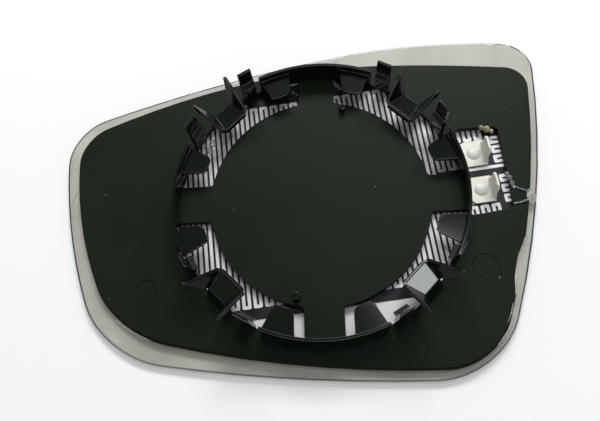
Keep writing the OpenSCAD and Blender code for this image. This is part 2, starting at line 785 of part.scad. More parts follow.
module adhesive_sheet() {
    through = plate_z - film_z + 2 * eps;
    color("white") difference() {
        slab(film_z, plate_z - film_z) plate_outline(sheet_in);
        in_quarters() sharp_window(film_z - eps, through, sheet_gap);
        terminal_window(film_z - eps, through, sheet_gap);
        slab(film_z - eps, film_t + track_t + eps) film_outline();
    }
}

// Terminals and rivets

// A terminal with its pad's middle at the origin and its underside at z = 0
module terminal() {
    half_l = tab_l / 2;
    right = tab_w / 2;
    half_web = web_w / 2;
    half_blade = blade_w / 2;
    color("antiquewhite") difference() {
        union() {
            linear_extrude(tab_t) polygon([[-right + tab_cut, -half_l], [right, -half_l],
                [right, half_l], [-right + tab_cut, half_l], [-right, half_l - tab_cut],
                [-right, -half_l + tab_cut]]);
            translate([right, 0, 0]) rotate([90, 0, -90]) linear_extrude(tab_t) polygon([
                [-half_web, 0], [half_web, 0], [half_web, web_h], [half_blade, web_h + web_slope],
                [half_blade, blade_h - blade_cut], [half_blade - blade_cut, blade_h],
                [-half_blade + blade_cut, blade_h], [-half_blade, blade_h - blade_cut],
                [-half_blade, web_h + web_slope], [-half_web, web_h]]);
        }
        translate([0, 0, -eps]) cylinder(h = tab_t + 2 * eps, r = shank_r + shank_gap);
    }
}

module rivet() {
    ball_r = (head_r ^ 2 + head_h ^ 2) / (2 * head_h);
    color("gainsboro") {
        cylinder(h = tab_t + eps, r = shank_r);
        translate([0, 0, tab_t]) intersection() {
            translate([0, 0, head_h - ball_r]) sphere(r = ball_r);
            cylinder(h = 2 * head_h, r = 2 * head_r);
        }
    }
}

module on_tab(tab) { on_heater() translate([tab.x, tab.y, sheet_z]) children(); }

module terminal_upper() { on_tab(tab_upper) terminal(); }

module terminal_lower() { on_tab(tab_lower) terminal(); }

module rivet_upper() { on_tab(tab_upper) rivet(); }

module rivet_lower() { on_tab(tab_lower) rivet(); }

// Glue

// Each drop is [distance right, distance up, height, share of the radius], from the point
// that its list starts at. Heights count from the top of the plate, or of the track in a window.

// From the upper right corner of the terminal window
corner_drops = [[-5.7, 0.1, 0, 0.75], [-3.8, -0.5, -0.2, 1], [-2.2, -1.4, -0.4, 0.7]];
// From the lower right corner of the terminal window
window_drops = [[-0.9, 12.6, 0, 0.75], [-0.3, 11, 0, 1], [0.4, 9, 0, 0.8], [0.7, 7.6, 0, 0.55]];
edge_drops = [[5.7, 5.4, 0, 0.7], [6.1, 3.9, -0.3, 1], [6.5, 2.5, -0.6, 0.75]];
// From the middle of the right-hand wall section, on its outer face
wall_drops = [[0.2, 4.4, 0, 0.45], [0.6, 3, 0, 0.55], [0.8, 1.7, 0, 0.4]];
// The two threads, from window to edge
upper_thread = [[0.7, 7.6], [2.8, 6.5], [5.7, 5.4]];
lower_thread = [[-0.3, 1.2], [2.1, 1.5], [5.7, 2.6]];
// From the point where the upper bridge's middle line meets the ring wall
bridge_drops = [[7.2, -1.5, 0.3, 0.9], [8.2, -2.8, 0.2, 1], [9.4, -4.1, 0, 0.7],
    [-8.7, -4.4, -0.2, 0.55], [-7.4, -5.6, -0.2, 0.45]];
// From the point in the upper left window that the angle and distance below give
smear_drops = [[-1.4, 0, -1.6, 0.8], [0.8, 1.4, -2, 1], [-0.1, -2, -1.2, 0.65]];
// Angle and distance from the ring wall that the smear starts at
smear_angle = 149;
smear_in = 3.2;

// Keeps glue out of the plate and what lies under it, but lets it hang into the window
module outside_plate() {
    difference() {
        children();
        slab(-eps, plate_top + eps) difference() {
            plate_outline();
            terminal_window_outline();
        }
        slab(-eps, sheet_z + eps) terminal_window_outline(sheet_gap);
        slab(-far, far + glass_t) square(2 * far, center = true);
        slab(-eps, ring_top) circle(r = ring_out_r);
    }
}

// Keeps glue in the ring's windows, above the track
module inside_windows() {
    intersection() {
        children();
        in_quarters() quarter_window(sheet_z, plate_t);
    }
}

module lump(x, y, z, r) { translate([x, y, z]) sphere(r = r, $fn = glue_facets); }

module drops(list, z, r) { for (d = list) lump(d.x, d.y, z + d.z, r * d[3]); }

// Threads of glue that lie on the plate, from point to point
module thread(points) {
    for (i = [1 : len(points) - 1]) hull() {
        lump(points[i - 1].x, points[i - 1].y, plate_top + thread_r, thread_r);
        lump(points[i].x, points[i].y, plate_top + thread_r, thread_r);
    }
}

module glue_lump() {
    color("khaki") outside_plate() translate(tw_corners[3])
        drops(corner_drops, plate_top, corner_drop_r);
}

module glue_threads() {
    color("lightgray") outside_plate() {
        translate(tw_corners[2]) {
            drops(window_drops, plate_top, window_drop_r);
            drops(edge_drops, plate_top, edge_drop_r);
            thread(upper_thread);
            thread(lower_thread);
        }
        translate([ring_out_r, 0]) drops(wall_drops, plate_top, window_drop_r);
    }
}

module glue_smear() {
    color("lightgray") inside_windows() {
        rotate(smear_angle) translate([ring_r - smear_in, 0]) rotate(-smear_angle)
            drops(smear_drops, sheet_z, smear_r);
        translate([0, ring_r]) drops(bridge_drops, sheet_z, ring_drop_r);
    }
}

mirror_glass();
heater_film();
heater_track();
adhesive_sheet();
backing_plate();
terminal_upper();
terminal_lower();
rivet_upper();
rivet_lower();
glue_lump();
glue_threads();
glue_smear();
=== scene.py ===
"""Heated door mirror glass, seen from behind.

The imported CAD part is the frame. This script gives it soft edges, finishes, small hand-made
details, a pale floor and plain soft light.
"""

from __future__ import annotations

import json
import logging
import math
from dataclasses import dataclass
from enum import Enum, IntEnum
from typing import Callable, Iterable

import bpy
from mathutils import Matrix, Vector

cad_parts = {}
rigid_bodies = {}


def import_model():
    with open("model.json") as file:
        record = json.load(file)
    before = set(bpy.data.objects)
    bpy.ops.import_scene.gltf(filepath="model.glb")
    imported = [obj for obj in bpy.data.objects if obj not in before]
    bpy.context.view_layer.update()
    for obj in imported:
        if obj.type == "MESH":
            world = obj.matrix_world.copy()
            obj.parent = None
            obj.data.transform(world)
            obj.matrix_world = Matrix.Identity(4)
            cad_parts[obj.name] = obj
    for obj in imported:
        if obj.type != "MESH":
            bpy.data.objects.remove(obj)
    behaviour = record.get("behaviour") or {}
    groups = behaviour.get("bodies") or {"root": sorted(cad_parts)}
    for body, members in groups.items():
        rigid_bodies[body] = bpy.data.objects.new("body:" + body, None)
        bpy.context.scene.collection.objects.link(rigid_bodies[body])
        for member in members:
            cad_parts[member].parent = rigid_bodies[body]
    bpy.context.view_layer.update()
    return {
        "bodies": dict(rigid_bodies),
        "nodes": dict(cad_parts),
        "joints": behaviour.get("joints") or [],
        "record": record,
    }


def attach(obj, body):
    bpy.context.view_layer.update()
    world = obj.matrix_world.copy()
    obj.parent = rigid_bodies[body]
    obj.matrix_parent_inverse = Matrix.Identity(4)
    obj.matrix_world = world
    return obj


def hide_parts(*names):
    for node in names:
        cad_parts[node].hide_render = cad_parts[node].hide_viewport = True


LOG = logging.getLogger("mirror_glass")
MM = 0.001

Colour = tuple[float, float, float]
Point = tuple[float, float, float]
Span = tuple[float, float]
Path = tuple[Span, ...]

WHITE: Colour = (1, 1, 1)


class Slot(Enum):
    """The record's material slots."""

    GLASS = "coated_glass"
    FILM = "carrier_film"
    TRACK = "silver_track"
    SHEET = "white_adhesive"
    PLASTIC = "black_plastic"
    TIN = "tinned_metal"
    RIVET = "rivet_metal"
    YELLOW = "yellow_glue"
    CLEAR = "clear_glue"


class Effect(Enum):
    """Surface effects that several finishes share, each a node group."""

    CLOUDS = "soft clouds"
    GRAIN = "moulded grain"
    SPECKS = "dust specks"
    SCRATCHES = "hair scratches"


class PaneFace(IntEnum):
    """The numbers of the pane's finishes."""

    PAINT = 0
    EDGE = 1
    MIRROR = 2


class PlateFace(IntEnum):
    """The numbers of the backing plate's finishes."""

    MATT = 0
    GLOSSY = 1
    # Pale roundings on the clips' south-facing edges: a painted highlight.
    WORN = 2


class Graph:
    """A short way to write the nodes of one material or node group."""

    def __init__(self, tree: bpy.types.NodeTree) -> None:
        """Works on an empty node tree.

        Args:
            tree: the material's or group's nodes.
        """
        self.tree = tree
        tree.nodes.clear()

    def add(self, kind: str, **settings: object) -> bpy.types.Node:
        """Adds a node and gives it its settings.

        Args:
            kind: the node's type name, without its ShaderNode start.
            settings: properties of the node, such as operation.

        Returns:
            The new node.
        """
        prefix = "" if kind.startswith("NodeGroup") else "ShaderNode"
        node = self.tree.nodes.new(prefix + kind)
        for name, value in settings.items():
            setattr(node, name, value)
        return node

    def fill(self, socket: bpy.types.NodeSocket, value: object) -> None:
        """Links an output to an input, or sets the input's own value.

        Args:
            socket: the input.
            value: an output socket, a number, a vector, or a colour of three numbers.
        """
        if isinstance(value, bpy.types.NodeSocket):
            self.tree.links.new(value, socket)
        elif socket.type == "RGBA":
            socket.default_value = (*value, 1)
        else:
            socket.default_value = value

    def feed(self, node: bpy.types.Node, **inputs: object) -> bpy.types.Node:
        """Fills inputs of a node by name, where an underscore stands for a space.

        Args:
            node: the node to fill.
            inputs: for each input a value or an output socket.

        Returns:
            The same node.
        """
        for name, value in inputs.items():
            self.fill(node.inputs[name.replace("_", " ")], value)
        return node

    def math(self, operation: str, *values: object) -> bpy.types.NodeSocket:
        """A Math node over one or two values.

        Args:
            operation: the node's operation.
            values: numbers or output sockets.

        Returns:
            The result's socket.
        """
        node = self.add("Math", operation=operation)
        for socket, value in zip(node.inputs, values):
            self.fill(socket, value)
        return node.outputs[0]

    def mix(self, mask: object, below: object, above: object) -> bpy.types.NodeSocket:
        """Mixes two colours.

        Args:
            mask: 0 shows the colour below, 1 the one above.
            below: a colour or a socket.
            above: a colour or a socket.

        Returns:
            The mixed colour's socket.
        """
        node = self.add("Mix", data_type="RGBA")
        factor, first, second = node.inputs[0], node.inputs[6], node.inputs[7]
        for socket, value in ((factor, mask), (first, below), (second, above)):
            self.fill(socket, value)
        return node.outputs[2]

    def ramp(self, value: object, span: Span, results: Span = (0, 1)) -> bpy.types.NodeSocket:
        """Maps a range of values to another and holds the ends.

        Args:
            value: the number to map.
            span: where the range starts and ends.
            results: what its start and its end become.

        Returns:
            The mapped number's socket.
        """
        node = self.feed(self.add("MapRange"), Value=value, From_Min=span[0], From_Max=span[1],
                         To_Min=results[0], To_Max=results[1])
        return node.outputs[0]

    def place(self) -> bpy.types.NodeSocket:
        """Finds the point on the piece, or the direction in the world.

        Returns:
            The point's socket, in metres.
        """
        return self.add("TexCoord").outputs["Object"]

    def away(self) -> bpy.types.NodeSocket:
        """Finds the point's distance from the origin.

        Returns:
            The distance's socket, in metres.
        """
        node = self.add("VectorMath", operation="LENGTH")
        self.fill(node.inputs[0], self.place())
        return node.outputs["Value"]

    def along(self, axis: str) -> bpy.types.NodeSocket:
        """Finds how far along an axis the point is.

        Args:
            axis: X, Y or Z.

        Returns:
            The distance's socket, in metres.
        """
        node = self.feed(self.add("SeparateXYZ"), Vector=self.place())
        return node.outputs[axis]

    def effect(self, effect: Effect, **inputs: object) -> bpy.types.NodeSocket:
        """Places a shared effect.

        Args:
            effect: which one.
            inputs: its own values here.

        Returns:
            The effect's output socket.
        """
        node = self.add("Group", node_tree=EffectLibrary.get(effect))
        self.feed(node, Place=self.place(), **inputs)
        return node.outputs[0]


class EffectLibrary:
    """Builds each shared node group once."""

    CLOUD_ROUGHNESS = 0.55
    CLOUD_SPAN: Span = (0.32, 0.68)
    GRAIN_DETAIL = 2
    GRAIN_ROUGHNESS = 0.6
    GRAIN_NOISE_SHARE = 0.7
    GRAIN_CELL_SHARE = 0.3
    GRAIN_CELL_SCALE = 0.6
    SCRATCH_DETAIL = 1
    SCRATCH_STRETCH: Point = (1, 0.06, 1)
    SCRATCH_MIDDLE = 0.5
    SCRATCH_BREAK_SCALE = 0.5
    SCRATCH_BREAK_SPAN: Span = (0.56, 0.62)

    @classmethod
    def get(cls, effect: Effect) -> bpy.types.NodeTree:
        """Returns an effect's node group, built at its first use.

        Args:
            effect: which effect.

        Returns:
            The group.
        """
        found = bpy.data.node_groups.get(effect.value)
        if found:
            return found
        makers: dict[Effect, Callable[[], bpy.types.NodeTree]] = {
            Effect.CLOUDS: cls.clouds,
            Effect.GRAIN: cls.grain,
            Effect.SPECKS: cls.specks,
            Effect.SCRATCHES: cls.scratches,
        }
        return makers[effect]()

    @staticmethod
    def start(
        effect: Effect, inputs: dict[str, float], output: str
    ) -> tuple[Graph, bpy.types.Node, bpy.types.Node]:
        """Makes an empty group with its sockets.

        Args:
            effect: names the group.
            inputs: each number that it takes, with its usual value.
            output: the name of what it puts out.

        Returns:
            The group's graph, its input node and its output node.
        """
        tree = bpy.data.node_groups.new(effect.value, "ShaderNodeTree")
        face = tree.interface
        face.new_socket(name="Place", in_out="INPUT", socket_type="NodeSocketVector")
        for name, value in inputs.items():
            socket = face.new_socket(name=name, in_out="INPUT", socket_type="NodeSocketFloat")
            socket.default_value = value
        face.new_socket(name=output, in_out="OUTPUT", socket_type="NodeSocketFloat")
        graph = Graph(tree)
        return graph, graph.add("NodeGroupInput"), graph.add("NodeGroupOutput")

    @classmethod
    def clouds(cls) -> bpy.types.NodeTree:
        """Broad soft patches, from 0 to 1.

        Returns:
            The group.
        """
        graph, given, result = cls.start(Effect.CLOUDS, {"Scale": 30, "Detail": 3}, "Patches")
        noise = graph.feed(graph.add("TexNoise"), Vector=given.outputs["Place"],
                           Scale=given.outputs["Scale"], Detail=given.outputs["Detail"],
                           Roughness=cls.CLOUD_ROUGHNESS)
        graph.feed(result, Patches=graph.ramp(noise.outputs["Fac"], cls.CLOUD_SPAN))
        return graph.tree

    @classmethod
    def grain(cls) -> bpy.types.NodeTree:
        """Fine uneven height, as an eroded mould leaves it.

        Returns:
            The group.
        """
        graph, given, result = cls.start(Effect.GRAIN, {"Scale": 2500}, "Height")
        place, scale = given.outputs["Place"], given.outputs["Scale"]
        noise = graph.feed(graph.add("TexNoise"), Vector=place, Scale=scale,
                           Detail=cls.GRAIN_DETAIL, Roughness=cls.GRAIN_ROUGHNESS)
        cells = graph.feed(graph.add("TexVoronoi", feature="F1"), Vector=place,
                           Scale=graph.math("MULTIPLY", scale, cls.GRAIN_CELL_SCALE))
        from_noise = graph.math("MULTIPLY", noise.outputs["Fac"], cls.GRAIN_NOISE_SHARE)
        from_cells = graph.math("MULTIPLY", cells.outputs["Distance"], cls.GRAIN_CELL_SHARE)
        graph.feed(result, Height=graph.math("ADD", from_noise, from_cells))
        return graph.tree

    @classmethod
    def specks(cls) -> bpy.types.NodeTree:
        """Small separate spots, of which only a share shows.

        Returns:
            The group.
        """
        usual = {"Scale": 250, "Size": 0.12, "Share": 0.1}
        graph, given, result = cls.start(Effect.SPECKS, usual, "Mask")
        cells = graph.feed(graph.add("TexVoronoi", feature="F1"), Vector=given.outputs["Place"],
                           Scale=given.outputs["Scale"])
        chosen = graph.add("SeparateColor")
        graph.fill(chosen.inputs[0], cells.outputs["Color"])
        reach = graph.math("MULTIPLY", given.outputs["Size"], chosen.outputs[1])
        near = graph.math("LESS_THAN", cells.outputs["Distance"], reach)
        kept = graph.math("LESS_THAN", chosen.outputs[0], given.outputs["Share"])
        graph.feed(result, Mask=graph.math("MULTIPLY", near, kept))
        return graph.tree

    @classmethod
    def scratches(cls) -> bpy.types.NodeTree:
        """Thin broken lines that run mostly one way.

        Returns:
            The group.
        """
        usual = {"Scale": 60, "Turn": 0.5, "Width": 0.012}
        graph, given, result = cls.start(Effect.SCRATCHES, usual, "Mask")
        place, scale = given.outputs["Place"], given.outputs["Scale"]
        turned = graph.feed(graph.add("VectorRotate", rotation_type="Z_AXIS"), Vector=place,
                            Angle=given.outputs["Turn"])
        stretched = graph.add("VectorMath", operation="MULTIPLY")
        graph.fill(stretched.inputs[0], turned.outputs[0])
        graph.fill(stretched.inputs[1], cls.SCRATCH_STRETCH)
        noise = graph.feed(graph.add("TexNoise"), Vector=stretched.outputs[0], Scale=scale,
                           Detail=cls.SCRATCH_DETAIL)
        off = graph.math("SUBTRACT", noise.outputs["Fac"], cls.SCRATCH_MIDDLE)
        line = graph.math("LESS_THAN", graph.math("ABSOLUTE", off), given.outputs["Width"])
        broken = graph.feed(graph.add("TexNoise"), Vector=place,
                            Scale=graph.math("MULTIPLY", scale, cls.SCRATCH_BREAK_SCALE))
        kept = graph.ramp(broken.outputs["Fac"], cls.SCRATCH_BREAK_SPAN)
        graph.feed(result, Mask=graph.math("MULTIPLY", line, kept))
        return graph.tree


@dataclass(frozen=True)
class Clouds:
    """Soft patches on a finish: how many to the metre, and how finely they break up."""

    scale: float
    detail: float = 3

    def mask(self, graph: Graph) -> bpy.types.NodeSocket:
        """Places the patches.

        Args:
            graph: the material's nodes.

        Returns:
            Their mask, from 0 to 1.
        """
        return graph.effect(Effect.CLOUDS, Scale=self.scale, Detail=self.detail)


@dataclass(frozen=True)
class Specks:
    """Spots on a finish: cells to the metre, a spot's size in cells, and the share that shows."""

    scale: float
    size: float
    share: float

    def mask(self, graph: Graph) -> bpy.types.NodeSocket:
        """Places the spots.

        Args:
            graph: the material's nodes.

        Returns:
            Their mask, 0 or 1.
        """
        return graph.effect(Effect.SPECKS, Scale=self.scale, Size=self.size, Share=self.share)


@dataclass(frozen=True)
class Scratches:
    """Lines on a finish: how many to the metre, their turn in radians, and their width."""

    scale: float
    turn: float
    width: float

    def mask(self, graph: Graph) -> bpy.types.NodeSocket:
        """Places the lines.

        Args:
            graph: the material's nodes.

        Returns:
            Their mask, from 0 to 1.
        """
        return graph.effect(Effect.SCRATCHES, Scale=self.scale, Turn=self.turn, Width=self.width)


@dataclass(frozen=True)
class Relief:
    """A height on a finish: its scale, how strongly it shows, its depth in metres, its effect."""

    scale: float
    strength: float
    depth: float = 0.02 * MM
    effect: Effect = Effect.GRAIN

    def lay(self, graph: Graph, shader: bpy.types.Node) -> None:
        """Lays the height on the shader's normal.

        Args:
            graph: the material's nodes.
            shader: its Principled shader.
        """
        height = graph.effect(self.effect, Scale=self.scale)
        bump = graph.feed(graph.add("Bump"), Strength=self.strength, Distance=self.depth,
                          Height=height)
        graph.feed(shader, Normal=bump.outputs[0])


@dataclass(frozen=True)
class Finish:
    """What every finish has: a name, and a shader whose plain numbers are set on its sockets."""

    name: str = "finish"

    def material(self) -> bpy.types.Material:
        """Finds the finish's material, or builds it at its first use.

        Returns:
            The material.
        """
        found = bpy.data.materials.get(self.name)
        if found:
            return found
        material = bpy.data.materials.new(self.name)
        material.use_nodes = True
        graph = Graph(material.node_tree)
        shader = graph.add("BsdfPrincipled")
        graph.fill(graph.add("OutputMaterial").inputs[0], shader.outputs[0])
        self.paint(graph, shader)
        return material

    def paint(self, graph: Graph, shader: bpy.types.Node) -> None:
        """Fills the shader. Each finish has its own way.

        Args:
            graph: the material's nodes.
            shader: its Principled shader.
        """
        raise NotImplementedError


@dataclass(frozen=True)
class BlackPlastic(Finish):
    """Moulded black plastic with a green cast and a little dust."""

    name: str = "matt black plastic"
    dark: Colour = (0.0062, 0.0125, 0.0056)
    pale: Colour = (0.0095, 0.0175, 0.0085)
    dust: Colour = (0.3, 0.3, 0.27)
    roughness: float = 0.5
    pale_roughness: float = 0.05
    dust_roughness: float = 0.3
    gloss: float = 0.12
    dusty: float = 0.5
    scratched: float = 0.02
    clouds: Clouds = Clouds(28)
    specks: Specks = Specks(260, 0.13, 0.05)
    scratches: Scratches = Scratches(70, 0.9, 0.003)
    relief: Relief = Relief(2600, 0.16)

    def paint(self, graph: Graph, shader: bpy.types.Node) -> None:
        """Fills the shader.

        Args:
            graph: the material's nodes.
            shader: its Principled shader.
        """
        clouds, specks = self.clouds.mask(graph), self.specks.mask(graph)
        scratches = graph.math("MULTIPLY", self.scratches.mask(graph), self.scratched)
        colour = graph.mix(scratches, graph.mix(clouds, self.dark, self.pale), self.dust)
        colour = graph.mix(graph.math("MULTIPLY", specks, self.dusty), colour, self.dust)
        in_pale = graph.math("MULTIPLY", clouds, self.pale_roughness)
        in_dust = graph.math("MULTIPLY", specks, self.dust_roughness)
        rough = graph.math("ADD", graph.math("ADD", self.roughness, in_pale), in_dust)
        graph.feed(shader, Base_Color=colour, Roughness=rough, Specular_IOR_Level=self.gloss)
        self.relief.lay(graph, shader)


@dataclass(frozen=True)
class BackPaint(Finish):
    """The greige paint over the mirror coating, whiter inside the clip ring."""

    name: str = "back paint"
    dark: Colour = (0.475, 0.465, 0.405)
    pale: Colour = (0.6, 0.585, 0.515)
    mark: Colour = (0.16, 0.16, 0.14)
    fresh: Colour = (0.9, 0.9, 0.87)
    fresh_to: float = 50.2 * MM
    fresh_fade: float = 1 * MM
    speckled: float = 0.55
    scratched: float = 0.35
    roughness: Span = (0.48, 0.6)
    gloss: float = 0.25
    clouds: Clouds = Clouds(60, 5)
    specks: Specks = Specks(420, 0.2, 0.06)
    scratches: Scratches = Scratches(50, 0.3, 0.006)
    relief: Relief = Relief(3500, 0.1, 0.01 * MM)

    def paint(self, graph: Graph, shader: bpy.types.Node) -> None:
        """Fills the shader.

        Args:
            graph: the material's nodes.
            shader: its Principled shader.
        """
        clouds = self.clouds.mask(graph)
        rim = (self.fresh_to, self.fresh_to + self.fresh_fade)
        in_ring = graph.ramp(graph.away(), rim, (1, 0))
        colour = graph.mix(in_ring, graph.mix(clouds, self.dark, self.pale), self.fresh)
        specks = graph.math("MULTIPLY", self.specks.mask(graph), self.speckled)
        scratches = graph.math("MULTIPLY", self.scratches.mask(graph), self.scratched)
        marks = graph.math("MAXIMUM", specks, scratches)
        graph.feed(shader, Base_Color=graph.mix(marks, colour, self.mark),
                   Roughness=graph.ramp(clouds, (0, 1), self.roughness),
                   Specular_IOR_Level=self.gloss)
        self.relief.lay(graph, shader)


@dataclass(frozen=True)
class GlassEdge(Finish):
    """The polished edge of the pane: blue-black, with a painted lit grey along its lower side."""

    name: str = "glass edge"
    deep: Colour = (0.008, 0.028, 0.055)
    blue: Colour = (0.025, 0.065, 0.11)
    painted_lit_grey: Colour = (0.2, 0.21, 0.19)
    painted_lit_span: Span = (-50 * MM, -25 * MM)
    roughness: Span = (0.08, 0.2)
    ior: float = 1.52
    coat: float = 0.6
    coat_roughness: float = 0.06
    clouds: Clouds = Clouds(140)
    relief: Relief = Relief(1800, 0.1)

    def paint(self, graph: Graph, shader: bpy.types.Node) -> None:
        """Fills the shader.

        Args:
            graph: the material's nodes.
            shader: its Principled shader.
        """
        clouds = self.clouds.mask(graph)
        # The edge turns grey towards the pane's lower side: painted light, standing for floor
        # light seen through the glass.
        lower = graph.ramp(graph.along("Y"), self.painted_lit_span, (1, 0))
        colour = graph.mix(lower, graph.mix(clouds, self.deep, self.blue), self.painted_lit_grey)
        graph.feed(shader, Base_Color=colour,
                   Roughness=graph.ramp(clouds, (0, 1), self.roughness), IOR=self.ior,
                   Coat_Weight=self.coat, Coat_Roughness=self.coat_roughness)
        self.relief.lay(graph, shader)


@dataclass(frozen=True)
class MirrorFace(Finish):
    """The mirror itself, behind clear glass."""

    name: str = "mirror face"
    bright: Colour = (0.86, 0.87, 0.88)
    dull: Colour = (0.82, 0.83, 0.84)
    metal: float = 1
    roughness: Span = (0.02, 0.08)
    coat: float = 0.5
    coat_roughness: float = 0.02
    clouds: Clouds = Clouds(18)
    smears: Scratches = Scratches(30, 1.1, 0.01)

    def paint(self, graph: Graph, shader: bpy.types.Node) -> None:
        """Fills the shader.

        Args:
            graph: the material's nodes.
            shader: its Principled shader.
        """
        colour = graph.mix(self.clouds.mask(graph), self.dull, self.bright)
        rough = graph.ramp(self.smears.mask(graph), (0, 1), self.roughness)
        graph.feed(shader, Base_Color=colour, Metallic=self.metal, Roughness=rough,
                   Coat_Weight=self.coat, Coat_Roughness=self.coat_roughness)


@dataclass(frozen=True)
class CarrierFilm(Finish):
    """The dark film that carries the printed heater."""

    name: str = "carrier film"
    dark: Colour = (0.005, 0.007, 0.011)
    pale: Colour = (0.012, 0.016, 0.026)
    roughness: Span = (0.4, 0.55)
    gloss: float = 0.3
    clouds: Clouds = Clouds(120)
    relief: Relief = Relief(1500, 0.15)

    def paint(self, graph: Graph, shader: bpy.types.Node) -> None:
        """Fills the shader.

        Args:
            graph: the material's nodes.
            shader: its Principled shader.
        """
        clouds = self.clouds.mask(graph)
        graph.feed(shader, Base_Color=graph.mix(clouds, self.dark, self.pale),
                   Roughness=graph.ramp(clouds, (0, 1), self.roughness),
                   Specular_IOR_Level=self.gloss)
        self.relief.lay(graph, shader)


@dataclass(frozen=True)
class SilverPaste(Finish):
    """The printed silver track, satin and a little uneven."""

    name: str = "silver paste"
    dull: Colour = (0.84, 0.85, 0.83)
    bright: Colour = (0.96, 0.97, 0.96)
    spot: Colour = (0.2, 0.2, 0.18)
    spotted: float = 0.5
    metal: float = 0.1
    roughness: Span = (0.4, 0.55)
    clouds: Clouds = Clouds(160, 5)
    specks: Specks = Specks(600, 0.25, 0.12)
    relief: Relief = Relief(2200, 0.3)

    def paint(self, graph: Graph, shader: bpy.types.Node) -> None:
        """Fills the shader.

        Args:
            graph: the material's nodes.
            shader: its Principled shader.
        """
        clouds = self.clouds.mask(graph)
        spots = graph.math("MULTIPLY", self.specks.mask(graph), self.spotted)
        colour = graph.mix(spots, graph.mix(clouds, self.dull, self.bright), self.spot)
        graph.feed(shader, Base_Color=colour, Metallic=self.metal,
                   Roughness=graph.ramp(clouds, (0, 1), self.roughness))
        self.relief.lay(graph, shader)


@dataclass(frozen=True)
class FoamSheet(Finish):
    """The pale adhesive sheet between the pane and the plate."""

    name: str = "adhesive foam"
    pale: Colour = (0.8, 0.8, 0.76)
    shade: Colour = (0.6, 0.6, 0.56)
    roughness: Span = (0.7, 0.85)
    clouds: Clouds = Clouds(300)
    relief: Relief = Relief(1200, 0.5, 0.05 * MM)

    def paint(self, graph: Graph, shader: bpy.types.Node) -> None:
        """Fills the shader.

        Args:
            graph: the material's nodes.
            shader: its Principled shader.
        """
        clouds = self.clouds.mask(graph)
        graph.feed(shader, Base_Color=graph.mix(clouds, self.shade, self.pale),
                   Roughness=graph.ramp(clouds, (0, 1), self.roughness))
        self.relief.lay(graph, shader)


@dataclass(frozen=True)
class SheetMetal(Finish):
    """Tinned sheet metal or a tinned rivet."""

    name: str = "tinned metal"
    dull: Colour = (0.84, 0.82, 0.72)
    bright: Colour = (0.97, 0.95, 0.86)
    metal: float = 0.12
    roughness: Span = (0.42, 0.57)
    scratched: float = 0.25
    clouds: Clouds = Clouds(220, 5)
    scratches: Scratches = Scratches(400, 0.1, 0.03)
    relief: Relief = Relief(1800, 0.2)

    def paint(self, graph: Graph, shader: bpy.types.Node) -> None:
        """Fills the shader.

        Args:
            graph: the material's nodes.
            shader: its Principled shader.
        """
        clouds = self.clouds.mask(graph)
        scratches = graph.math("MULTIPLY", self.scratches.mask(graph), self.scratched)
        colour = graph.mix(scratches, graph.mix(clouds, self.dull, self.bright), self.dull)
        graph.feed(shader, Base_Color=colour, Metallic=self.metal,
                   Roughness=graph.ramp(clouds, (0, 1), self.roughness))
        self.relief.lay(graph, shader)


@dataclass(frozen=True)
class HardGlue(Finish):
    """Glue that has set in drops and threads."""

    name: str = "clear glue"
    thin: Colour = (0.93, 0.95, 0.93)
    thick: Colour = (0.75, 0.78, 0.75)
    clear: float = 0.85
    roughness: Span = (0.08, 0.2)
    ior: float = 1.48
    coat: float = 0.5
    coat_roughness: float = 0.05
    clouds: Clouds = Clouds(500)
    relief: Relief = Relief(700, 0.25, 0.1 * MM, Effect.CLOUDS)

    def paint(self, graph: Graph, shader: bpy.types.Node) -> None:
        """Fills the shader.

        Args:
            graph: the material's nodes.
            shader: its Principled shader.
        """
        clouds = self.clouds.mask(graph)
        graph.feed(shader, Base_Color=graph.mix(clouds, self.thick, self.thin),
                   Roughness=graph.ramp(clouds, (0, 1), self.roughness), IOR=self.ior,
                   Transmission_Weight=self.clear, Coat_Weight=self.coat,
                   Coat_Roughness=self.coat_roughness)
        self.relief.lay(graph, shader)


@dataclass(frozen=True)
class FloorPaper(Finish):
    """The pale floor, with a glow that grows from near to far, where it is seen directly."""

    name: str = "floor paper"
    colour: Colour = (0.9, 0.9, 0.885)
    shade: float = 0.985
    roughness: float = 0.9
    gloss: float = 0.1
    glow: Span = (0.22, 0.72)
    glow_span: Span = (0.5, 3)
    clouds: Clouds = Clouds(3)

    @staticmethod
    def seen_directly(graph: Graph) -> bpy.types.NodeSocket:
        """Masks the rays that see the floor from the camera, in a gloss or through glass.

        Args:
            graph: the material's nodes.

        Returns:
            The mask's socket, 0 or 1.
        """
        path = graph.add("LightPath")
        rays = graph.math("ADD", path.outputs["Is Camera Ray"], path.outputs["Is Glossy Ray"])
        rays = graph.math("ADD", rays, path.outputs["Is Transmission Ray"])
        return graph.math("MINIMUM", rays, 1)

    def paint(self, graph: Graph, shader: bpy.types.Node) -> None:
        """Fills the shader.

        Args:
            graph: the material's nodes.
            shader: its Principled shader.
        """
        shaded = tuple(self.shade * part for part in self.colour)
        glow = graph.ramp(graph.away(), self.glow_span, self.glow)
        graph.feed(shader, Base_Color=graph.mix(self.clouds.mask(graph), shaded, self.colour),
                   Roughness=self.roughness, Specular_IOR_Level=self.gloss, Emission_Color=WHITE,
                   Emission_Strength=graph.math("MULTIPLY", self.seen_directly(graph), glow))


